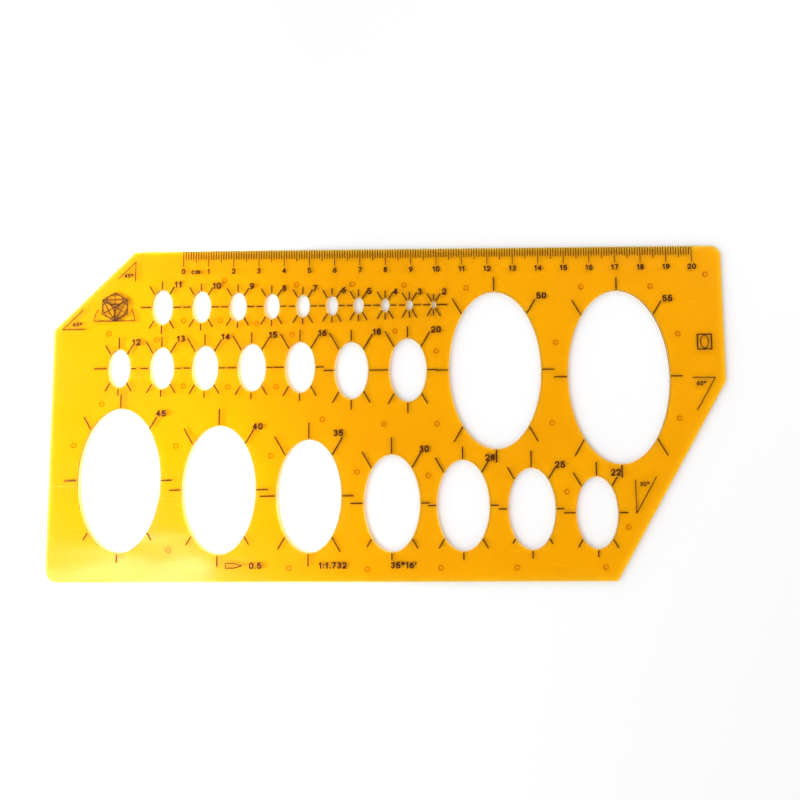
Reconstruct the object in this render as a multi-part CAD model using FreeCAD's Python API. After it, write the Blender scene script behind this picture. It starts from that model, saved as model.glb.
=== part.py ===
import FreeCAD, Part
import math
import os

# Isometric ellipse template for technical drawing, in millimetres.
# +X runs along the centimetre scale, +Y points to the scale edge, +Z is up.
# The origin is the centre of the outline, level with the feet of the ink risers.

# Sheet
SHEET_LENGTH = 262.0
SHEET_WIDTH = 129.3
SHEET_THICKNESS = 1.2
RISER_HEIGHT = 0.3
CUT_45_LEG = 31.3
CUT_60_RUN = 43.8
CUT_60_RISE = CUT_60_RUN * math.sqrt(3)
TOP_RIGHT_RADIUS = 4.0
BOTTOM_LEFT_RADIUS = 4.75
SHARP_CORNER_RADIUS = 0.8
SMALLEST_RADIUS = 0.25
BEVEL_WIDTH = 1.2
BEVEL_HEIGHT = 0.35
RIM_CHAMFER = 0.12

# Ink risers and ejector marks under the sheet
RISER_BASE_RADIUS = 1.2
RISER_SHOULDER_RADIUS = 0.85
RISER_SHOULDER_HEIGHT = 0.14
RISER_FOOT_RADIUS = 0.35
EJECTOR_RADIUS = 1.3
EJECTOR_DEPTH = 0.08

# Isometric ellipses: axis lengths per millimetre of nominal size
MAJOR_RATIO = math.sqrt(1.5)
MINOR_RATIO = math.sqrt(0.5)
PEN_ALLOWANCE = 0.5

# Printed ink
INK_HEIGHT = 0.05
RIM_INK_GAP = 0.3
MARK_WIDTH = 0.5
GRADUATION_WIDTH = 0.32
FIGURE_WIDTH = 0.36
DIAGRAM_WIDTH = 0.36
SIZE_TEXT_HEIGHT = 2.6
SCALE_TEXT_HEIGHT = 2.25
NOTE_TEXT_HEIGHT = 2.5
ANGLE_TEXT_HEIGHT = 1.7
STROKE_RATIO = 0.22
LETTER_GAP = 0.24

# Centimetre scale
SCALE_ZERO_X = -80.3
SCALE_MILLIMETRES = 200
GRADUATION_EDGE_GAP = 0.15
MILLIMETRE_LINE = 3.4
HALF_LINE = 4.5
CENTIMETRE_LINE = 6.3
SCALE_TEXT_DROP = 8.1
UNIT_OFFSET = 4.9

# Lower-edge notes and badge
NOTE_Y = -58.4
PEN_NOTE_X = -54.7
RATIO_NOTE_X = -20.7
ELLIPSE_ANGLE_NOTE_X = 6.3
BADGE_X = 123.4
BADGE_Y = 26.6
BADGE_WIDTH = 5.4
BADGE_HEIGHT = 5.8
BADGE_ELLIPSE = 4.2
NIB_BACK = 7.0
NIB_BODY = 3.4
NIB_TAPER = 2.8
NIB_HALF_WIDTH = 0.9
PEN_TEXT_OFFSET = 4.4

# Isometric cube diagram
CUBE_X = -107.2
CUBE_Y = 42.6
CUBE_EDGE = 5.7
CUBE_ELLIPSE_FIT = 0.96
CUBE_ARC_RADIUS = 8.0
CUBE_ARC_TURN = 35

# Each opening: nominal size, centre x, centre y
TOP_ROW_Y = 42.2
MIDDLE_ROW_Y = 17.9
OPENINGS = [
    (11, -88.5, TOP_ROW_Y),
    (10, -73.0, TOP_ROW_Y),
    (9, -58.5, TOP_ROW_Y),
    (8, -45.1, TOP_ROW_Y),
    (7, -32.8, TOP_ROW_Y),
    (6, -21.3, TOP_ROW_Y),
    (5, -10.9, TOP_ROW_Y),
    (4, -0.4, TOP_ROW_Y),
    (3, 9.1, TOP_ROW_Y),
    (2, 18.6, TOP_ROW_Y),
    (12, -105.0, MIDDLE_ROW_Y),
    (13, -88.2, MIDDLE_ROW_Y),
    (14, -71.2, MIDDLE_ROW_Y),
    (15, -52.8, MIDDLE_ROW_Y),
    (16, -33.8, MIDDLE_ROW_Y),
    (18, -13.7, 16.5),
    (20, 8.3, 16.5),
    (50, 42.2, 16.3),
    (55, 90.0, 13.3),
    (45, -103.7, -25.8),
    (40, -65.0, -29.6),
    (35, -30.1, -32.1),
    (30, 1.9, -35.0),
    (28, 29.2, -36.0),
    (25, 55.4, -37.4),
    (22, 80.2, -39.0),
]

# Mark lengths of each opening, out from its rim:
# up, upper right, right, lower right, down, lower left, left, upper left
MARK_ANGLES = (90, 60, 0, -60, -90, -120, 180, 120)
MARKS = {
    2: (3.0, 4.0, 4.5, 4.0, 3.0, 4.0, 3.1, 4.0),
    3: (3.2, 3.9, 3.1, 4.0, 3.0, 4.0, 2.8, 4.0),
    4: (3.2, 3.9, 2.8, 4.0, 3.0, 4.0, 3.0, 4.0),
    5: (3.2, 3.9, 3.0, 4.0, 3.0, 4.0, 2.6, 4.0),
    6: (3.2, 3.9, 2.6, 4.0, 2.8, 4.0, 2.8, 4.0),
    7: (3.2, 3.9, 2.8, 4.0, 2.8, 4.0, 2.8, 4.0),
    8: (3.2, 3.6, 2.8, 4.0, 2.8, 4.0, 3.0, 4.0),
    9: (3.2, 3.9, 3.0, 4.0, 2.8, 4.0, 3.2, 4.0),
    10: (3.2, 3.8, 3.2, 4.0, 3.1, 4.0, 3.3, 4.0),
    11: (3.4, 3.8, 3.4, 4.0, 3.6, 4.0, 4.3, 4.2),
    12: (4.8, 4.7, 2.4, 4.0, 3.0, 4.0, 5.3, 4.5),
    13: (4.3, 5.2, 3.1, 4.5, 3.0, 4.5, 3.5, 5.8),
    14: (4.6, 5.8, 3.1, 4.5, 3.0, 4.5, 3.2, 6.4),
    15: (4.6, 6.3, 3.0, 4.6, 3.0, 4.6, 4.0, 6.8),
    16: (4.8, 6.6, 3.5, 4.7, 3.2, 4.7, 4.3, 6.9),
    18: (4.8, 7.4, 3.4, 5.4, 4.1, 5.4, 4.2, 7.7),
    20: (4.7, 7.1, 4.3, 5.0, 4.3, 5.0, 4.8, 7.4),
    22: (5.6, 4.3, 3.7, 4.0, 2.9, 3.8, 4.7, 6.4),
    25: (6.6, 5.4, 3.3, 2.5, 3.2, 2.3, 3.6, 5.6),
    28: (5.1, 5.3, 3.4, 4.4, 3.1, 4.4, 3.4, 6.9),
    30: (6.7, 7.4, 3.6, 4.5, 3.0, 3.8, 5.1, 7.6),
    35: (6.6, 8.4, 4.8, 6.8, 5.0, 5.6, 6.2, 8.8),
    40: (6.6, 7.0, 4.9, 3.9, 4.4, 3.9, 4.6, 7.3),
    45: (5.8, 5.7, 4.5, 3.6, 3.6, 3.5, 5.2, 5.8),
    50: (6.0, 6.8, 5.2, 7.0, 5.2, 7.1, 4.9, 7.5),
    55: (5.2, 6.4, 4.8, 7.7, 5.1, 7.7, 5.4, 7.1),
}

# Size numerals: offset of the numeral's centre from its opening's centre
NUMERAL_OFFSETS = {
    2: (4.2, 5.3), 3: (4.1, 5.3), 4: (4.0, 5.5), 5: (4.2, 5.7), 6: (4.6, 6.3),
    7: (4.8, 7.1), 8: (4.9, 7.3), 9: (5.5, 8.2), 10: (6.1, 8.5), 11: (6.2, 9.2),
    12: (6.7, 10.5), 13: (7.5, 11.7), 14: (8.1, 12.3), 15: (8.4, 12.9),
    16: (8.8, 13.5), 18: (10.0, 15.2), 20: (11.1, 15.9), 22: (7.4, 15.3),
    25: (11.0, 16.8), 28: (10.5, 18.3), 30: (12.5, 20.7), 35: (11.4, 24.2),
    40: (15.0, 24.5), 45: (15.8, 26.0), 50: (18.5, 29.2), 55: (19.7, 30.6),
}

# Ink risers (x, y), standing clear of every opening
RISERS = [
    (-64, 53), (-35.5, 51), (-13.5, 51), (7, 50.5), (31.5, 49), (76.5, 49),
    (103.5, 49), (125, 53.5), (-80, 37), (-65.5, 37), (-51, 35.5), (-109.5, 32),
    (-90.5, 29.5), (-37, 31), (3.5, 32), (19.5, 24), (66, 27), (113.5, 30),
    (-79.5, 11), (-62, 10.5), (-43, 10.5), (-111.5, 4), (-122, -12), (-82, -12.5),
    (-84, -52.5), (-25, -2.5), (-1, -4.5), (-45, -16.5), (-11.5, -23), (-37.5, -59.5),
    (-7.5, -60), (19.5, -4.5), (64, -4.5), (16, -24.5), (69, -31), (20.5, -59.5),
    (49.5, -59.5), (113, -3), (92, -44.5), (83, -59.5),
]

# Ejector marks (x, y)
EJECTORS = [
    (-93, 57), (-15.5, 33), (68.5, 38), (-79.5, 1.5), (-10.5, -9), (44, -24), (112.5, -11.5),
]

SHEET_BOTTOM = RISER_HEIGHT
SHEET_TOP = RISER_HEIGHT + SHEET_THICKNESS
HALF_LENGTH = SHEET_LENGTH / 2
HALF_WIDTH = SHEET_WIDTH / 2
UP = FreeCAD.Vector(0, 0, 1)


def point(x, y, z=SHEET_TOP):
    return FreeCAD.Vector(x, y, z)


def ray(x, y, angle, distance):
    turn = math.radians(angle)
    return (x + distance * math.cos(turn), y + distance * math.sin(turn))


def export(node, shape):
    shape.exportStep("parts/" + node + ".step")


# ---- Sheet -------------------------------------------------------------------


def outline_corners():
    return [
        (-HALF_LENGTH, -HALF_WIDTH, BOTTOM_LEFT_RADIUS),
        (HALF_LENGTH - CUT_60_RUN, -HALF_WIDTH, SHARP_CORNER_RADIUS),
        (HALF_LENGTH, CUT_60_RISE - HALF_WIDTH, SHARP_CORNER_RADIUS),
        (HALF_LENGTH, HALF_WIDTH, TOP_RIGHT_RADIUS),
        (CUT_45_LEG - HALF_LENGTH, HALF_WIDTH, SHARP_CORNER_RADIUS),
        (-HALF_LENGTH, HALF_WIDTH - CUT_45_LEG, SHARP_CORNER_RADIUS),
    ]


def unit(start, end):
    run = end[0] - start[0]
    rise = end[1] - start[1]
    length = math.hypot(run, rise)
    return (run / length, rise / length)


def inset_corner(before, corner, after, inset):
    first = unit(before, corner)
    second = unit(corner, after)
    turn = first[0] * second[1] - first[1] * second[0]
    along = first[0] * second[0] + first[1] * second[1]
    slide = inset * (1 - along) / turn
    x = corner[0] - first[1] * inset - first[0] * slide
    y = corner[1] + first[0] * inset - first[1] * slide
    return (x, y, max(corner[2] - inset, SMALLEST_RADIUS))


def rounded_corner(before, corner, after, z):
    first = unit(corner, before)
    second = unit(corner, after)
    half_angle = math.acos(first[0] * second[0] + first[1] * second[1]) / 2
    radius = corner[2]
    back = radius / math.tan(half_angle)
    middle = (first[0] + second[0], first[1] + second[1])
    middle_length = math.hypot(middle[0], middle[1])
    reach = radius / math.sin(half_angle) - radius
    start = point(corner[0] + first[0] * back, corner[1] + first[1] * back, z)
    bulge_x = corner[0] + middle[0] / middle_length * reach
    bulge_y = corner[1] + middle[1] / middle_length * reach
    end = point(corner[0] + second[0] * back, corner[1] + second[1] * back, z)
    return start, point(bulge_x, bulge_y, z), end


def outline_wire(inset, z):
    corners = outline_corners()
    count = len(corners)
    inner = []
    for i in range(count):
        inner.append(inset_corner(corners[i - 1], corners[i], corners[(i + 1) % count], inset))
    rounds = []
    for i in range(count):
        rounds.append(rounded_corner(inner[i - 1], inner[i], inner[(i + 1) % count], z))
    edges = []
    for i in range(count):
        start, bulge, end = rounds[i]
        edges.append(Part.Arc(start, bulge, end).toShape())
        edges.append(Part.makeLine(end, rounds[(i + 1) % count][0]))
    return Part.Wire(edges)


def half_axes(size):
    across = (size * MINOR_RATIO + PEN_ALLOWANCE) / 2
    along = (size * MAJOR_RATIO + PEN_ALLOWANCE) / 2
    return across, along


def opening_wire(size, x, y, z, growth):
    across, along = half_axes(size)
    centre = point(x, y, z)
    top = point(x, y + along + growth, z)
    side = point(x - across - growth, y, z)
    return Part.Wire([Part.Ellipse(top, side, centre).toShape()])


def flared_rim(size, x, y, narrow_z, wide_z):
    narrow = opening_wire(size, x, y, narrow_z, 0)
    wide = opening_wire(size, x, y, wide_z, RIM_CHAMFER)
    return Part.makeLoft([narrow, wide], True, True)


def opening_cutter(size, x, y):
    face = Part.Face(opening_wire(size, x, y, SHEET_BOTTOM, 0))
    bore = face.extrude(UP * SHEET_THICKNESS)
    upper = flared_rim(size, x, y, SHEET_TOP - RIM_CHAMFER, SHEET_TOP)
    lower = flared_rim(size, x, y, SHEET_BOTTOM + RIM_CHAMFER, SHEET_BOTTOM)
    return bore.fuse([upper, lower])


def sheet_blank():
    bevel_top = SHEET_BOTTOM + BEVEL_HEIGHT
    low = outline_wire(BEVEL_WIDTH, SHEET_BOTTOM)
    high = outline_wire(0, bevel_top)
    bevel = Part.makeLoft([low, high], True, True)
    upper = Part.Face(high).extrude(UP * (SHEET_TOP - bevel_top))
    return bevel.fuse(upper)


def riser(x, y):
    foot = point(RISER_FOOT_RADIUS, 0, 0)
    shoulder = point(RISER_SHOULDER_RADIUS, 0, RISER_SHOULDER_HEIGHT)
    base = point(RISER_BASE_RADIUS, 0, RISER_HEIGHT)
    flank = Part.Arc(foot, shoulder, base).toShape()
    core = Part.makePolygon([base, point(0, 0, RISER_HEIGHT), point(0, 0, 0), foot])
    dome = Part.Face(Part.Wire([flank] + core.Edges)).revolve(point(0, 0, 0), UP, 360)
    dome.translate(point(x, y, 0))
    return dome


def ejector_recess(x, y):
    return Part.makeCylinder(EJECTOR_RADIUS, EJECTOR_DEPTH, point(x, y, SHEET_BOTTOM), UP)


def template_sheet():
    cutters = [opening_cutter(*opening) for opening in OPENINGS]
    cutters += [ejector_recess(*place) for place in EJECTORS]
    sheet = sheet_blank().cut(Part.makeCompound(cutters))
    return sheet.fuse([riser(*place) for place in RISERS])


# ---- Ink strokes -------------------------------------------------------------


def inked(wire):
    return Part.Face(wire).extrude(UP * INK_HEIGHT)


def strip(start, end, width):
    along = unit(start, end)
    side = (-along[1] * width / 2, along[0] * width / 2)
    corners = [
        point(start[0] + side[0], start[1] + side[1]),
        point(start[0] - side[0], start[1] - side[1]),
        point(end[0] - side[0], end[1] - side[1]),
        point(end[0] + side[0], end[1] + side[1]),
    ]
    return inked(Part.makePolygon(corners + corners[:1]))


def bar(start, end, width):
    along = unit(start, end)
    half = width / 2
    side = (-along[1] * half, along[0] * half)
    first = point(start[0] + side[0], start[1] + side[1])
    second = point(start[0] - side[0], start[1] - side[1])
    third = point(end[0] - side[0], end[1] - side[1])
    fourth = point(end[0] + side[0], end[1] + side[1])
    start_tip = point(start[0] - along[0] * half, start[1] - along[1] * half)
    end_tip = point(end[0] + along[0] * half, end[1] + along[1] * half)
    edges = [
        Part.Arc(first, start_tip, second).toShape(),
        Part.makeLine(second, third),
        Part.Arc(third, end_tip, fourth).toShape(),
        Part.makeLine(fourth, first),
    ]
    return inked(Part.Wire(edges))


def arc_edge(centre, radius, start, end):
    middle = (start + end) / 2
    ends = [point(*ray(centre[0], centre[1], angle, radius)) for angle in (start, middle, end)]
    return Part.Arc(ends[0], ends[1], ends[2]).toShape()


def bow(centre, radius, start, end, width):
    half = width / 2
    first = ray(centre[0], centre[1], start, radius)
    last = ray(centre[0], centre[1], end, radius)
    edges = [
        arc_edge(centre, radius + half, start, end),
        arc_edge(last, half, end, end + 180),
        arc_edge(centre, radius - half, end, start),
        arc_edge(first, half, start + 180, start + 360),
    ]
    return inked(Part.Wire(edges))


def ring(centre, radius, width):
    outer = inked(Part.Wire(Part.makeCircle(radius + width / 2, point(*centre))))
    return outer.cut(inked(Part.Wire(Part.makeCircle(radius - width / 2, point(*centre)))))


def joined(strokes):
    if len(strokes) == 1:
        return strokes[0]
    return strokes[0].fuse(strokes[1:]).removeSplitter()


# ---- Lettering ---------------------------------------------------------------

# Strokes of each character on a centre line grid one unit high:
# ("bar", start, end), ("bow", centre, radius, from, to), ("ring", centre, radius)
GLYPHS = {
    "0": (0.60, [
        ("bow", (0.30, 0.70), 0.30, 0, 180),
        ("bow", (0.30, 0.30), 0.30, 180, 360),
        ("bar", (0.0, 0.30), (0.0, 0.70)),
        ("bar", (0.60, 0.30), (0.60, 0.70)),
    ]),
    "1": (0.32, [
        ("bar", (0.26, 0.0), (0.26, 1.0)),
        ("bar", (0.26, 1.0), (0.0, 0.78)),
    ]),
    "2": (0.60, [
        ("bow", (0.30, 0.70), 0.30, -35, 172),
        ("bar", (0.546, 0.528), (0.0, 0.0)),
        ("bar", (0.0, 0.0), (0.60, 0.0)),
    ]),
    "3": (0.58, [
        ("bow", (0.29, 0.765), 0.235, -90, 155),
        ("bow", (0.30, 0.265), 0.265, 200, 450),
    ]),
    "4": (0.62, [
        ("bar", (0.46, 0.0), (0.46, 1.0)),
        ("bar", (0.46, 1.0), (0.0, 0.30)),
        ("bar", (0.0, 0.30), (0.62, 0.30)),
    ]),
    "5": (0.60, [
        ("bar", (0.55, 1.0), (0.10, 1.0)),
        ("bar", (0.10, 1.0), (0.06, 0.53)),
        ("bow", (0.29, 0.31), 0.31, 205, 496),
    ]),
    "6": (0.60, [
        ("ring", (0.30, 0.30), 0.30),
        ("bow", (0.70, 0.34), 0.69, 107, 180),
    ]),
    "7": (0.58, [
        ("bar", (0.0, 1.0), (0.58, 1.0)),
        ("bar", (0.58, 1.0), (0.20, 0.0)),
    ]),
    "8": (0.54, [
        ("ring", (0.27, 0.77), 0.225),
        ("ring", (0.27, 0.265), 0.265),
    ]),
    "9": (0.60, [
        ("ring", (0.30, 0.70), 0.30),
        ("bow", (-0.10, 0.66), 0.69, -73, 0),
    ]),
    ":": (0.06, [
        ("bar", (0.03, 0.10), (0.03, 0.14)),
        ("bar", (0.03, 0.60), (0.03, 0.64)),
    ]),
    ".": (0.06, [
        ("bar", (0.03, 0.0), (0.03, 0.04)),
    ]),
    "°": (0.38, [
        ("ring", (0.19, 0.81), 0.19),
    ]),
    "'": (0.08, [
        ("bar", (0.08, 1.0), (0.02, 0.76)),
    ]),
    "c": (0.52, [
        ("bow", (0.30, 0.32), 0.30, 50, 310),
    ]),
    "m": (0.76, [
        ("bar", (0.0, 0.0), (0.0, 0.62)),
        ("bow", (0.19, 0.43), 0.19, 0, 180),
        ("bar", (0.38, 0.0), (0.38, 0.43)),
        ("bow", (0.57, 0.43), 0.19, 0, 180),
        ("bar", (0.76, 0.0), (0.76, 0.43)),
    ]),
}


DRAWN_GLYPHS = {}


def drawn_stroke(stroke, scale, width):
    kind = stroke[0]
    start = (stroke[1][0] * scale, stroke[1][1] * scale)
    if kind == "bar":
        return bar(start, (stroke[2][0] * scale, stroke[2][1] * scale), width)
    if kind == "bow":
        return bow(start, stroke[2] * scale, stroke[3], stroke[4], width)
    return ring(start, stroke[2] * scale, width)


def glyph(character, height):
    key = (character, height)
    if key not in DRAWN_GLYPHS:
        width = height * STROKE_RATIO
        strokes = GLYPHS[character][1]
        lines = [drawn_stroke(stroke, height - width, width) for stroke in strokes]
        DRAWN_GLYPHS[key] = joined(lines)
    return DRAWN_GLYPHS[key]


def lettering(words, height, x, y):
    scale = height * (1 - STROKE_RATIO)
    widths = [GLYPHS[character][0] * scale for character in words]
    gap = LETTER_GAP * height + STROKE_RATIO * height / 2
    total = sum(widths) + gap * (len(words) - 1)
    left = x - total / 2
    letters = []
    for character, width in zip(words, widths):
        letter = glyph(character, height).copy()
        letter.translate(FreeCAD.Vector(left, y - scale / 2, 0))
        letters += letter.Solids
        left += width + gap
    return letters


# ---- Printed figures ---------------------------------------------------------


def rim_distance(size, angle):
    across, along = half_axes(size)
    turn = math.radians(angle)
    return 1 / math.hypot(math.cos(turn) / across, math.sin(turn) / along)


def opening_marks(size, x, y):
    ink = []
    for angle, length in zip(MARK_ANGLES, MARKS[size]):
        rim = rim_distance(size, angle)
        start = ray(x, y, angle, rim + RIM_INK_GAP)
        ink.append(strip(start, ray(x, y, angle, rim + length), MARK_WIDTH))
    shift = NUMERAL_OFFSETS[size]
    ink += lettering(str(size), SIZE_TEXT_HEIGHT, x + shift[0], y + shift[1])
    return Part.makeCompound(ink)


def scale_graduations():
    ink = []
    top = HALF_WIDTH - GRADUATION_EDGE_GAP
    for step in range(SCALE_MILLIMETRES + 1):
        x = SCALE_ZERO_X + step
        length = MILLIMETRE_LINE
        if step % 5 == 0:
            length = HALF_LINE
        if step % 10 == 0:
            length = CENTIMETRE_LINE
        ink.append(strip((x, top), (x, HALF_WIDTH - length), GRADUATION_WIDTH))
    return Part.makeCompound(ink)


def scale_numerals():
    y = HALF_WIDTH - SCALE_TEXT_DROP
    ink = lettering("cm", SCALE_TEXT_HEIGHT, SCALE_ZERO_X + UNIT_OFFSET, y)
    for step in range(0, SCALE_MILLIMETRES + 1, 10):
        ink += lettering(str(step // 10), SCALE_TEXT_HEIGHT, SCALE_ZERO_X + step, y)
    return Part.makeCompound(ink)


def angle_figure(apex, first, second, words, text_centre):
    ends = [ray(apex[0], apex[1], angle, length) for angle, length in (first, second)]
    legs = joined([bar(apex, end, FIGURE_WIDTH) for end in ends])
    return Part.makeCompound([legs] + lettering(words, ANGLE_TEXT_HEIGHT, *text_centre))


def ellipse_ring(x, y, minor_angle, edge):
    across = edge * MINOR_RATIO / 2
    along = edge * MAJOR_RATIO / 2
    half = DIAGRAM_WIDTH / 2
    discs = []
    for growth in (half, -half):
        tip = point(*ray(x, y, minor_angle + 90, along + growth))
        side = point(*ray(x, y, minor_angle + 180, across + growth))
        discs.append(inked(Part.Wire([Part.Ellipse(tip, side, point(x, y)).toShape()])))
    return discs[0].cut(discs[1])


def isometric_cube_diagram():
    tips = [ray(CUBE_X, CUBE_Y, angle, CUBE_EDGE) for angle in range(30, 390, 60)]
    lines = [bar(tips[i - 1], tips[i], DIAGRAM_WIDTH) for i in range(6)]
    lines += [bar(tips[i], tips[i + 3], DIAGRAM_WIDTH) for i in range(3)]
    lines += [bar(tips[i - 2], tips[i], DIAGRAM_WIDTH) for i in (0, 2, 4)]
    for angle in (90, 210, 330):
        middle = ray(CUBE_X, CUBE_Y, angle, CUBE_EDGE / 2)
        lines.append(ellipse_ring(middle[0], middle[1], angle, CUBE_EDGE * CUBE_ELLIPSE_FIT))
    foot = ray(CUBE_X, CUBE_Y, 270, CUBE_EDGE)
    left = (foot[0] - CUBE_ARC_RADIUS, foot[1])
    right = (foot[0] + CUBE_ARC_RADIUS, foot[1])
    lines.append(bar(left, right, DIAGRAM_WIDTH))
    lines.append(bow(foot, CUBE_ARC_RADIUS, 0, CUBE_ARC_TURN, DIAGRAM_WIDTH))
    lines.append(bow(foot, CUBE_ARC_RADIUS, 180 - CUBE_ARC_TURN, 180, DIAGRAM_WIDTH))
    return joined(lines)


def outline_path(places, width):
    return joined([bar(places[i - 1], places[i], width) for i in range(len(places))])


def pen_note():
    back = PEN_NOTE_X - NIB_BACK
    shoulder = back + NIB_BODY
    tip = shoulder + NIB_TAPER
    nib = outline_path([
        (back, NOTE_Y - NIB_HALF_WIDTH),
        (back, NOTE_Y + NIB_HALF_WIDTH),
        (shoulder, NOTE_Y + NIB_HALF_WIDTH),
        (tip, NOTE_Y),
        (shoulder, NOTE_Y - NIB_HALF_WIDTH),
    ], FIGURE_WIDTH)
    words = lettering("0.5", NOTE_TEXT_HEIGHT, PEN_NOTE_X + PEN_TEXT_OFFSET, NOTE_Y)
    return Part.makeCompound([nib] + words)


def note(words, x):
    return Part.makeCompound(lettering(words, NOTE_TEXT_HEIGHT, x, NOTE_Y))


def badge():
    half_w = BADGE_WIDTH / 2
    half_h = BADGE_HEIGHT / 2
    frame = outline_path([
        (BADGE_X - half_w, BADGE_Y - half_h),
        (BADGE_X + half_w, BADGE_Y - half_h),
        (BADGE_X + half_w, BADGE_Y + half_h),
        (BADGE_X - half_w, BADGE_Y + half_h),
    ], MARK_WIDTH)
    return Part.makeCompound([frame, ellipse_ring(BADGE_X, BADGE_Y, 0, BADGE_ELLIPSE)])


# Angle figures: apex, then each leg's direction and length, words, centre of the words
ANGLE_FIGURES = {
    "angle_45_upper": ((-99.3, 60.7), (270, 7.8), (225, 9.6), "45°", (-102.0, 55.1)),
    "angle_45_lower": ((-127.7, 33.6), (0, 8.7), (45, 11.1), "45°", (-122.0, 35.6)),
    "angle_60": ((126.9, 12.6), (180, 8.5), (240, 14.5), "60°", (121.5, 10.4)),
    "angle_30": ((95.0, -39.3), (90, 12.6), (60, 16.0), "30°", (98.4, -28.2)),
}


def main():
    os.makedirs("parts", exist_ok=True)
    export("template_sheet", template_sheet())
    export("scale_graduations", scale_graduations())
    export("scale_numerals", scale_numerals())
    for size, x, y in OPENINGS:
        export("marks_%02d" % size, opening_marks(size, x, y))
    for name, figure in ANGLE_FIGURES.items():
        export(name, angle_figure(*figure))
    export("isometric_cube_diagram", isometric_cube_diagram())
    export("pen_note", pen_note())
    export("ratio_note", note("1:1.732", RATIO_NOTE_X))
    export("ellipse_angle_note", note("35°16'", ELLIPSE_ANGLE_NOTE_X))
    export("badge", badge())


main()
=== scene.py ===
import math

import bpy
from mathutils import Matrix, Vector

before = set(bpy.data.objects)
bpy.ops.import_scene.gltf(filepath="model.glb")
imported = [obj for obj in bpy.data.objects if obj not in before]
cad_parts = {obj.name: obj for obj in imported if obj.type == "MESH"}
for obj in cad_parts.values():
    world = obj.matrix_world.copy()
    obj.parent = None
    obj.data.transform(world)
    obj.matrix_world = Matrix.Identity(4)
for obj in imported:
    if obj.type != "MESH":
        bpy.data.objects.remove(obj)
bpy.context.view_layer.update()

# Lengths are in metres, colours are linear red, green and blue, and noise scales are in cells
# per metre. A RANGE is the pair of noise values between which an effect goes from one end to
# the other.
PLAIN = (1.0, 1.0, 1.0)
COLOUR_RANGE = (0.35, 0.7)
ROUGHNESS_RANGE = (0.3, 0.7)

# Sheet: the shares of light left after crossing it twice, and the share of lamp light that
# each face lets straight through to the floor
SHEET = "template_sheet"
SHEET_THICKNESS = 0.0012
RISER_HEIGHT = 0.0003
PLASTIC_IOR = 1.49
DOUBLE_PASS = (0.83, 0.405, 0.004)
FACE_PASS = (0.93, 0.90, 0.55)

# Surface of the plastic: clear, cloudy and scratched, and a painted shade on the flanks of the risers
CLEAR = (1.0, 0.992, 0.82)
CLOUDY = (0.985, 0.95, 0.76)
WORN = (0.93, 0.90, 0.72)
RISER_PAINTED_SHADE = (0.66, 0.42, 0.35)
CLOUD_SCALE = 24.0
CLOUD_ROUGHNESS = (0.09, 0.15)
GRAIN_SCALE = 900.0
GRAIN_ROUGHNESS = 0.03
WAVE_SCALE = 36.0
WAVE_STRETCH = (1.0, 1.6, 1.0)
WAVE_HEIGHT = 0.0004
WAVE_STRENGTH = 0.8

# Painted shade on the riser flanks: the shares of the riser height between which it comes in and goes
# out
SHADE_FLANK_IN = (0.05, 0.4)
SHADE_FLANK_OUT = (0.85, 0.98)

# Hairline scratches: turn in radians, noise scale across the lines, half width in noise value.
# They follow the level where the noise is at its middle value, and show only in patches.
SCRATCHES = ((0.35, 700.0, 0.004), (-1.1, 520.0, 0.003), (1.9, 610.0, 0.003))
SCRATCH_STRETCH = 0.02
SCRATCH_LEVEL = 0.5
SCRATCH_PATCH_SCALE = 38.0
SCRATCH_PATCH_RANGE = (0.50, 0.66)
SCRATCH_TINT = 0.6
SCRATCH_ROUGHNESS = 0.25
SCRATCH_DEPTH = 0.00002
SCRATCH_STRENGTH = 0.4

# Ink
INK_DARK = (0.032, 0.002, 0.001)
INK_THIN = (0.058, 0.004, 0.002)
INK_FLECK = (0.14, 0.030, 0.004)
INK_FLECK_RANGE = (0.66, 0.74)
INK_FLECK_SHARE = 0.5
INK_BODY_SCALE = 260.0
INK_GRAIN_SCALE = 5200.0
INK_GRAIN_HEIGHT = 0.00001
INK_GRAIN_STRENGTH = 0.4
INK_ROUGHNESS = (0.42, 0.62)
INK_SPECULAR = 0.2

# Floor
FLOOR_REACH = 3.0
FLOOR_COLOUR = (0.9, 0.9, 0.9)
FLOOR_ROUGHNESS = 0.9

# Lamps: place, aim, size, watts and spread in degrees
LAMPS = {
    "key": ((-0.345, -0.182, 0.5), (-0.065, -0.142, 0.0), (0.15, 0.34), 1.2, 180.0),
    "pool": ((-0.432, -0.07, 0.22), (-0.172, 0.0, 0.0), (0.30, 0.15), 0.27, 9.0),
    "fill": ((0.23, 0.25, 0.27), (0.08, 0.04, 0.0), (0.12, 0.12), 0.21, 180.0),
}

# Light tent: the sines of elevation between which its walls fade to the dark opening, its
# bright side, the cosines from that side between which it brightens, and the dim side's share
TENT_STRENGTH = 2.1
TENT_TOP = (0.84, 0.93)
TENT_SIDE = (-0.92, -0.39, 0.0)
TENT_TURN = (-0.2, 0.8)
TENT_DIM_SHARE = 0.25

# Camera: lens and sensor in millimetres
LENS = 40.0
SENSOR = 36.0
CAMERA_PLACE = (0.0127, -0.03345, 0.34391)
CAMERA_FORWARD = (-0.02159, 0.11082, -0.99361)
CAMERA_UP = (0.0076, 0.99383, 0.11068)
CAMERA_CLIP = (0.01, 20.0)


def new_material(name):
    material = bpy.data.materials.new(name)
    material.use_nodes = True
    nodes = material.node_tree.nodes
    nodes.clear()
    output = nodes.new("ShaderNodeOutputMaterial")
    shader = nodes.new("ShaderNodeBsdfPrincipled")
    material.node_tree.links.new(shader.outputs["BSDF"], output.inputs["Surface"])
    return material, shader, output


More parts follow.
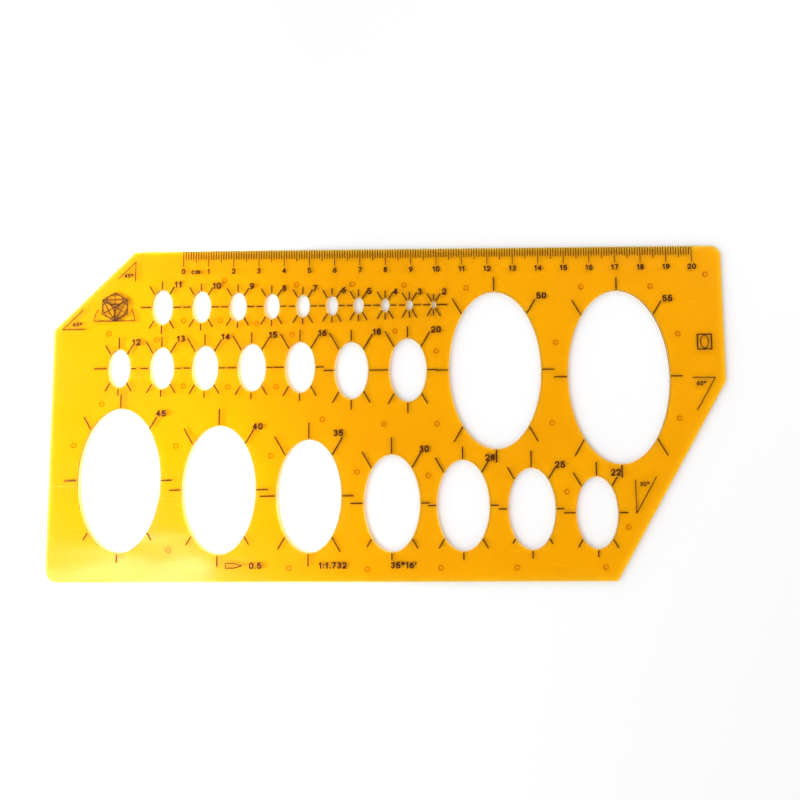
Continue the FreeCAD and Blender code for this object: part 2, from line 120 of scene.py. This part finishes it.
class Tree:
    """Short calls for building the nodes of one material or world."""

    def __init__(self, owner, coordinate="Object"):
        self.nodes = owner.node_tree.nodes
        self.links = owner.node_tree.links
        self.position = self.nodes.new("ShaderNodeTexCoord").outputs[coordinate]

    def link(self, source, target):
        self.links.new(source, target)

    def scaled(self, scale, turn=0.0):
        node = self.nodes.new("ShaderNodeMapping")
        node.inputs["Scale"].default_value = scale
        node.inputs["Rotation"].default_value = (0.0, 0.0, turn)
        self.link(self.position, node.inputs["Vector"])
        return node.outputs["Vector"]

    def noise(self, vector, scale, detail):
        node = self.nodes.new("ShaderNodeTexNoise")
        node.inputs["Scale"].default_value = scale
        node.inputs["Detail"].default_value = detail
        self.link(vector, node.inputs["Vector"])
        return node.outputs["Fac"]

    def height(self):
        node = self.nodes.new("ShaderNodeSeparateXYZ")
        self.link(self.position, node.inputs["Vector"])
        return node.outputs["Z"]

    def along(self, direction):
        node = self.nodes.new("ShaderNodeVectorMath")
        node.operation = "DOT_PRODUCT"
        node.inputs[1].default_value = direction
        self.link(self.position, node.inputs[0])
        return node.outputs["Value"]

    def remap(self, value, low, high, to_low, to_high, kind="LINEAR"):
        node = self.nodes.new("ShaderNodeMapRange")
        node.interpolation_type = kind
        node.inputs["From Min"].default_value = low
        node.inputs["From Max"].default_value = high
        node.inputs["To Min"].default_value = to_low
        node.inputs["To Max"].default_value = to_high
        self.link(value, node.inputs["Value"])
        return node.outputs["Result"]

    def combine(self, kind, first, second):
        node = self.nodes.new("ShaderNodeMath")
        node.operation = kind
        for socket, value in zip(node.inputs, (first, second)):
            if isinstance(value, float):
                socket.default_value = value
            else:
                self.link(value, socket)
        return node.outputs["Value"]

    def mix(self, factor, first, second):
        node = self.nodes.new("ShaderNodeMix")
        node.data_type = "RGBA"
        self.link(factor, node.inputs["Factor"])
        colours = [socket for socket in node.inputs if socket.type == "RGBA"]
        for socket, value in zip(colours, (first, second)):
            if isinstance(value, tuple):
                socket.default_value = (*value, 1.0)
            else:
                self.link(value, socket)
        return [socket for socket in node.outputs if socket.type == "RGBA"][0]

    def bump(self, height, distance, strength, normal=None):
        node = self.nodes.new("ShaderNodeBump")
        node.inputs["Strength"].default_value = strength
        node.inputs["Distance"].default_value = distance
        self.link(height, node.inputs["Height"])
        if normal is not None:
            self.link(normal, node.inputs["Normal"])
        return node.outputs["Normal"]


def scratches(tree, turn, scale, width):
    """Fine straight hairlines: thin level lines of a noise drawn out along one direction."""
    stretched = (scale * SCRATCH_STRETCH, scale, scale * SCRATCH_STRETCH)
    drawn = tree.noise(tree.scaled(stretched, turn), 1.0, detail=1.0)
    away = tree.combine("ABSOLUTE", tree.combine("SUBTRACT", drawn, SCRATCH_LEVEL), 0.0)
    line = tree.remap(away, 0.0, width, 1.0, 0.0)
    patch = tree.noise(tree.scaled(PLAIN, turn), SCRATCH_PATCH_SCALE, detail=2.0)
    return tree.combine("MULTIPLY", line, tree.remap(patch, *SCRATCH_PATCH_RANGE, 0.0, 1.0))


def riser_shade_mask(tree):
    """Where the risers get their painted shade: one on their sloping flanks, nought on their feet and
    on the sheet itself.
    """
    height = tree.height()
    above_foot = tree.remap(height, *(share * RISER_HEIGHT for share in SHADE_FLANK_IN), 0.0, 1.0)
    below_sheet = tree.remap(height, *(share * RISER_HEIGHT for share in SHADE_FLANK_OUT), 1.0, 0.0)
    return tree.combine("MULTIPLY", above_foot, below_sheet)


def absorbing_volume(tree):
    losses = [-math.log(share) / (2 * SHEET_THICKNESS) for share in DOUBLE_PASS]
    density = max(losses)
    volume = tree.nodes.new("ShaderNodeVolumeAbsorption")
    volume.inputs["Density"].default_value = density
    volume.inputs["Color"].default_value = (*(1 - loss / density for loss in losses), 1.0)
    return volume.outputs["Volume"]


def lamps_through(tree, surface):
    """The given surface, but one that lets a share of lamp light straight through."""
    opening = tree.nodes.new("ShaderNodeBsdfTransparent")
    opening.inputs["Color"].default_value = (*FACE_PASS, 1.0)
    choice = tree.nodes.new("ShaderNodeMixShader")
    tree.link(tree.nodes.new("ShaderNodeLightPath").outputs["Is Shadow Ray"], choice.inputs[0])
    tree.link(surface, choice.inputs[1])
    tree.link(opening.outputs["BSDF"], choice.inputs[2])
    return choice.outputs["Shader"]


def sheet_plastic():
    material, shader, output = new_material("tinted_plastic")
    tree = Tree(material)
    plain = tree.scaled(PLAIN)
    cloud = tree.noise(plain, CLOUD_SCALE, detail=3.0)
    grain = tree.noise(plain, GRAIN_SCALE, detail=2.0)
    first, second, third = [scratches(tree, *line) for line in SCRATCHES]
    hairs = tree.combine("MAXIMUM", tree.combine("MAXIMUM", first, second), third)

    colour = tree.mix(tree.remap(cloud, *COLOUR_RANGE, 0.0, 1.0), CLEAR, CLOUDY)
    colour = tree.mix(tree.combine("MULTIPLY", hairs, SCRATCH_TINT), colour, WORN)
    # The riser flanks get a painted shade, a darker colour standing in for the shading that
    # refraction gives them
    tree.link(tree.mix(riser_shade_mask(tree), colour, RISER_PAINTED_SHADE), shader.inputs["Base Color"])

    roughness = tree.remap(cloud, *ROUGHNESS_RANGE, *CLOUD_ROUGHNESS)
    added = tree.remap(grain, *ROUGHNESS_RANGE, 0.0, GRAIN_ROUGHNESS)
    roughness = tree.combine("ADD", roughness, added)
    added = tree.combine("MULTIPLY", hairs, SCRATCH_ROUGHNESS)
    tree.link(tree.combine("ADD", roughness, added), shader.inputs["Roughness"])

    wave = tree.noise(tree.scaled(WAVE_STRETCH), WAVE_SCALE, detail=1.0)
    waves = tree.bump(wave, WAVE_HEIGHT, WAVE_STRENGTH)
    bumps = tree.bump(hairs, SCRATCH_DEPTH, SCRATCH_STRENGTH, waves)
    tree.link(bumps, shader.inputs["Normal"])
    shader.inputs["IOR"].default_value = PLASTIC_IOR
    shader.inputs["Transmission Weight"].default_value = 1.0

    tree.link(absorbing_volume(tree), output.inputs["Volume"])
    tree.link(lamps_through(tree, shader.outputs["BSDF"]), output.inputs["Surface"])
    return material


def printed_ink():
    material, shader, _ = new_material("printed_ink")
    tree = Tree(material)
    plain = tree.scaled(PLAIN)
    body = tree.noise(plain, INK_BODY_SCALE, detail=3.0)
    grain = tree.noise(plain, INK_GRAIN_SCALE, detail=2.0)
    colour = tree.mix(tree.remap(body, *COLOUR_RANGE, 0.0, 1.0), INK_DARK, INK_THIN)
    flecks = tree.remap(grain, *INK_FLECK_RANGE, 0.0, INK_FLECK_SHARE)
    tree.link(tree.mix(flecks, colour, INK_FLECK), shader.inputs["Base Color"])
    tree.link(tree.remap(grain, *ROUGHNESS_RANGE, *INK_ROUGHNESS), shader.inputs["Roughness"])
    tree.link(tree.bump(grain, INK_GRAIN_HEIGHT, INK_GRAIN_STRENGTH), shader.inputs["Normal"])
    shader.inputs["Specular IOR Level"].default_value = INK_SPECULAR
    return material


def pale_floor():
    mesh = bpy.data.meshes.new("floor")
    reach = FLOOR_REACH
    corners = [(-reach, -reach, 0.0), (reach, -reach, 0.0), (reach, reach, 0.0), (-reach, reach, 0.0)]
    mesh.from_pydata(corners, [], [(0, 1, 2, 3)])
    floor = bpy.data.objects.new("floor", mesh)
    bpy.context.scene.collection.objects.link(floor)
    material, shader, _ = new_material("floor_paper")
    shader.inputs["Base Color"].default_value = (*FLOOR_COLOUR, 1.0)
    shader.inputs["Roughness"].default_value = FLOOR_ROUGHNESS
    shader.inputs["Specular IOR Level"].default_value = 0.0
    mesh.materials.append(material)


def softbox(name, place, aim, size, power, spread):
    data = bpy.data.lights.new(name, "AREA")
    data.shape = "RECTANGLE"
    data.size, data.size_y = size
    data.energy = power
    data.spread = math.radians(spread)
    lamp = bpy.data.objects.new(name, data)
    lamp.location = place
    lamp.rotation_mode = "QUATERNION"
    lamp.rotation_quaternion = (Vector(aim) - Vector(place)).to_track_quat("-Z", "Y")
    bpy.context.scene.collection.objects.link(lamp)


def light_tent():
    """White walls all round, brightest towards the lower left, and a dark opening overhead
    so that the gloss mirrors no glare from it."""
    world = bpy.data.worlds.new("studio")
    world.use_nodes = True
    tree = Tree(world, "Generated")
    walls = tree.remap(tree.height(), *TENT_TOP, TENT_STRENGTH, 0.0, "SMOOTHSTEP")
    side = tree.remap(tree.along(TENT_SIDE), *TENT_TURN, TENT_DIM_SHARE, 1.0, "SMOOTHSTEP")
    background = tree.nodes["Background"]
    tree.link(tree.combine("MULTIPLY", walls, side), background.inputs["Strength"])
    background.inputs["Color"].default_value = (1.0, 1.0, 1.0, 1.0)
    bpy.context.scene.world = world


def add_camera():
    data = bpy.data.cameras.new("camera")
    data.lens = LENS
    data.sensor_width = SENSOR
    data.clip_start, data.clip_end = CAMERA_CLIP
    camera = bpy.data.objects.new("camera", data)
    back = -Vector(CAMERA_FORWARD).normalized()
    right = Vector(CAMERA_UP).cross(back).normalized()
    up = back.cross(right)
    turn = Matrix((right, up, back)).transposed().to_4x4()
    camera.matrix_world = Matrix.Translation(CAMERA_PLACE) @ turn
    bpy.context.scene.collection.objects.link(camera)
    bpy.context.scene.camera = camera


plastic = sheet_plastic()
ink = printed_ink()
for name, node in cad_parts.items():
    node.data.materials.clear()
    node.data.materials.append(plastic if name == SHEET else ink)

pale_floor()
for name, lamp in LAMPS.items():
    softbox(name, *lamp)
light_tent()
add_camera()

scene = bpy.context.scene
scene.view_settings.view_transform = "Standard"
scene.view_settings.look = "None"
scene.cycles.use_denoising = True
scene.cycles.blur_glossy = 0.0
